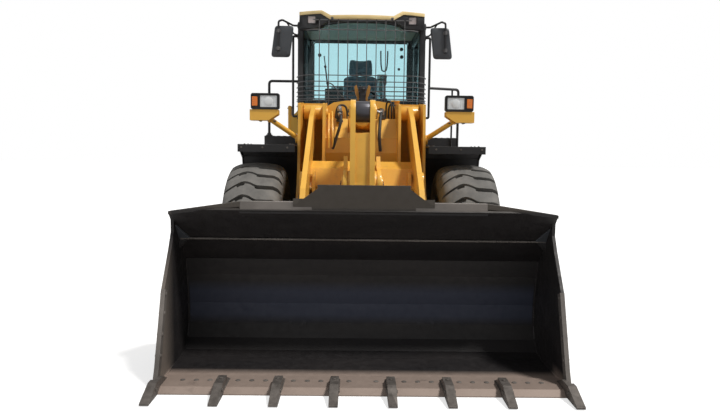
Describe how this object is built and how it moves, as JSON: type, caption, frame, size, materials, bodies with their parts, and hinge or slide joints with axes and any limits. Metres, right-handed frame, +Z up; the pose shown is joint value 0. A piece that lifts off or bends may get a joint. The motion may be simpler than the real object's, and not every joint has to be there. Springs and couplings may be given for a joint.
{
  "type": "wheel loader",
  "caption": "Articulated wheel loader with a Z-bar bucket linkage, glazed cab with a front guard, steering and lift cylinders, hinged doors and hood flaps.",
  "frame": {"origin": "on the ground, midway along the length and width", "axes": "-Y towards the bucket, +X towards the machine's left, +Z up"},
  "size_m": [3.02, 8.17, 3.4739],
  "materials": {
    "body_yellow": "semi-gloss",
    "pale_yellow": "semi-gloss",
    "dark_paint": "satin",
    "grey_paint": "satin",
    "worn_steel": "worn",
    "chrome_rod": "polished",
    "cast_iron": "rough",
    "tyre_rubber": "matte",
    "glass_tint": "clear",
    "seat_fabric": "woven",
    "black_plastic": "matte"
  },
  "bodies": {
    "rear_body": {"rear_frame": "dark_paint", "rear_axle": "grey_paint", "rear_drive_shaft": "grey_paint", "engine": "cast_iron", "counterweight": "dark_paint", "engine_hood": "body_yellow", "rear_fenders": "black_plastic", "side_tanks": "dark_paint", "cab_frame": "dark_paint", "cab_roof": "pale_yellow", "cab_glass": "glass_tint", "windshield_guard": "dark_paint", "operator_seat": "seat_fabric", "steering_console": "black_plastic", "handrails": "dark_paint", "mirrors": "black_plastic", "side_housing": "body_yellow", "exhaust_stack": "chrome_rod"},
    "cab_door": {"cab_door": "dark_paint", "cab_door_glass": "glass_tint"},
    "hood_door_left": {"hood_door_left": "body_yellow"},
    "hood_door_right": {"hood_door_right": "body_yellow"},
    "rear_grille": {"rear_grille": "dark_paint"},
    "front_body": {"front_frame": "body_yellow", "front_axle": "grey_paint", "front_drive_shaft": "grey_paint", "front_fenders": "black_plastic", "headlamp_brackets": "body_yellow", "headlamps": "black_plastic", "control_valve": "cast_iron"},
    "boom": {"boom": "body_yellow"},
    "bell_crank": {"bell_crank": "body_yellow"},
    "bucket": {"bucket": "worn_steel", "bucket_teeth": "worn_steel"},
    "bucket_link": {"bucket_link": "body_yellow"},
    "tilt_barrel": {"tilt_barrel": "body_yellow"},
    "tilt_rod": {"tilt_rod": "chrome_rod"},
    "lift_barrel_left": {"lift_barrel_left": "body_yellow"},
    "lift_rod_left": {"lift_rod_left": "chrome_rod"},
    "steer_barrel_left": {"steer_barrel_left": "body_yellow"},
    "steer_rod_left": {"steer_rod_left": "chrome_rod"},
    "lift_barrel_right": {"lift_barrel_right": "body_yellow"},
    "lift_rod_right": {"lift_rod_right": "chrome_rod"},
    "steer_barrel_right": {"steer_barrel_right": "body_yellow"},
    "steer_rod_right": {"steer_rod_right": "chrome_rod"},
    "wheel_front_left": {"tyre_front_left": "tyre_rubber", "rim_front_left": "body_yellow"},
    "wheel_front_right": {"tyre_front_right": "tyre_rubber", "rim_front_right": "body_yellow"},
    "wheel_rear_left": {"tyre_rear_left": "tyre_rubber", "rim_rear_left": "body_yellow"},
    "wheel_rear_right": {"tyre_rear_right": "tyre_rubber", "rim_rear_right": "body_yellow"}
  },
  "joints": [
    {"name": "steering", "type": "hinge", "parent": "rear_body", "child": "front_body", "pos_m": [0, 0.485, 0.935], "axis": [0, 0, 1], "range_deg": [-37, 37]},
    {"name": "lift", "type": "hinge", "parent": "front_body", "child": "boom", "pos_m": [0, -0.745, 2.15], "axis": [-1, 0, 0], "range_deg": [-2, 90]},
    {"name": "bucket_tilt", "type": "hinge", "parent": "boom", "child": "bucket", "pos_m": [0, -2.535, 0.42], "axis": [1, 0, 0], "range_deg": [-40, 130]},
    {"name": "bell_crank_swing", "type": "hinge", "parent": "boom", "child": "bell_crank", "pos_m": [0, -1.915, 1.4], "axis": [-1, 0, 0], "range_deg": [-11.4, 34.8]},
    {"name": "link_swing", "type": "hinge", "parent": "bucket", "child": "bucket_link", "pos_m": [0, -2.72, 0.72], "axis": [-1, 0, 0], "range_deg": [-17.8, 55.6]},
    {"name": "lift_barrel_swing_left", "type": "hinge", "parent": "front_body", "child": "lift_barrel_left", "pos_m": [0.55, -0.245, 0.88], "axis": [-1, 0, 0], "range_deg": [-2, 44.4]},
    {"name": "lift_rod_slide_left", "type": "slide", "parent": "lift_barrel_left", "child": "lift_rod_left", "axis": [0, -0.9725, 0.2329], "range_m": [-0.036, 1.165]},
    {"name": "lift_barrel_swing_right", "type": "hinge", "parent": "front_body", "child": "lift_barrel_right", "pos_m": [-0.55, -0.245, 0.88], "axis": [-1, 0, 0], "range_deg": [-2, 44.4]},
    {"name": "lift_rod_slide_right", "type": "slide", "parent": "lift_barrel_right", "child": "lift_rod_right", "axis": [0, -0.9725, 0.2329], "range_m": [-0.036, 1.165]},
    {"name": "tilt_barrel_swing", "type": "hinge", "parent": "front_body", "child": "tilt_barrel", "pos_m": [0, -0.64, 2.06], "axis": [-1, 0, 0], "range_deg": [-2.8, 82.1]},
    {"name": "tilt_rod_slide", "type": "slide", "parent": "tilt_barrel", "child": "tilt_rod", "axis": [0, -0.9994, 0.0358], "range_m": [-0.39, 0.124]},
    {"name": "steer_barrel_swing_left", "type": "hinge", "parent": "rear_body", "child": "steer_barrel_left", "pos_m": [0.33, 1.105, 0.94], "axis": [0, 0, 1], "range_deg": [-16, 16]},
    {"name": "steer_rod_slide_left", "type": "slide", "parent": "steer_barrel_left", "child": "steer_rod_left", "axis": [0.0192, -0.9998, 0], "range_m": [-0.23, 0.23]},
    {"name": "steer_barrel_swing_right", "type": "hinge", "parent": "rear_body", "child": "steer_barrel_right", "pos_m": [-0.33, 1.105, 0.94], "axis": [0, 0, 1], "range_deg": [-16, 16]},
    {"name": "steer_rod_slide_right", "type": "slide", "parent": "steer_barrel_right", "child": "steer_rod_right", "axis": [-0.0192, -0.9998, 0], "range_m": [-0.23, 0.23]},
    {"name": "wheel_front_left", "type": "hinge", "parent": "front_body", "child": "wheel_front_left", "pos_m": [1.12, -1.165, 0.79], "axis": [-1, 0, 0], "continuous": true},
    {"name": "wheel_front_right", "type": "hinge", "parent": "front_body", "child": "wheel_front_right", "pos_m": [-1.12, -1.165, 0.79], "axis": [-1, 0, 0], "continuous": true},
    {"name": "wheel_rear_left", "type": "hinge", "parent": "rear_body", "child": "wheel_rear_left", "pos_m": [1.12, 2.135, 0.79], "axis": [-1, 0, 0], "continuous": true},
    {"name": "wheel_rear_right", "type": "hinge", "parent": "rear_body", "child": "wheel_rear_right", "pos_m": [-1.12, 2.135, 0.79], "axis": [-1, 0, 0], "continuous": true},
    {"name": "cab_door_swing", "type": "hinge", "parent": "rear_body", "child": "cab_door", "pos_m": [0.823, 1.064, 2.51], "axis": [0, 0, 1], "range_deg": [0, 85]},
    {"name": "hood_door_left_swing", "type": "hinge", "parent": "rear_body", "child": "hood_door_left", "pos_m": [0.633, 2.85, 2.24], "axis": [0, -1, 0], "range_deg": [0, 75]},
    {"name": "hood_door_right_swing", "type": "hinge", "parent": "rear_body", "child": "hood_door_right", "pos_m": [-0.633, 2.85, 2.24], "axis": [0, 1, 0], "range_deg": [0, 75]},
    {"name": "rear_grille_swing", "type": "hinge", "parent": "rear_body", "child": "rear_grille", "pos_m": [0.462, 3.973, 1.9], "axis": [0, 0, -1], "range_deg": [0, 100]}
  ],
  "couplings": [
    {"joint": "bell_crank_swing", "follows": "bucket_tilt", "ratio": 0.26},
    {"joint": "link_swing", "follows": "bucket_tilt", "ratio": 0.42},
    {"joint": "lift_barrel_swing_left", "follows": "lift", "ratio": 0.4822},
    {"joint": "lift_rod_slide_left", "follows": "lift", "m_per_rad": 0.7353},
    {"joint": "lift_barrel_swing_right", "follows": "lift", "ratio": 0.4822},
    {"joint": "lift_rod_slide_right", "follows": "lift", "m_per_rad": 0.7353},
    {"joint": "tilt_barrel_swing", "follows": "lift", "ratio": 0.9011},
    {"joint": "tilt_rod_slide", "follows": "bucket_tilt", "m_per_rad": -0.1699},
    {"joint": "steer_barrel_swing_left", "follows": "steering", "ratio": 0.403},
    {"joint": "steer_rod_slide_left", "follows": "steering", "m_per_rad": -0.335},
    {"joint": "steer_barrel_swing_right", "follows": "steering", "ratio": 0.403},
    {"joint": "steer_rod_slide_right", "follows": "steering", "m_per_rad": 0.335}
  ]
}
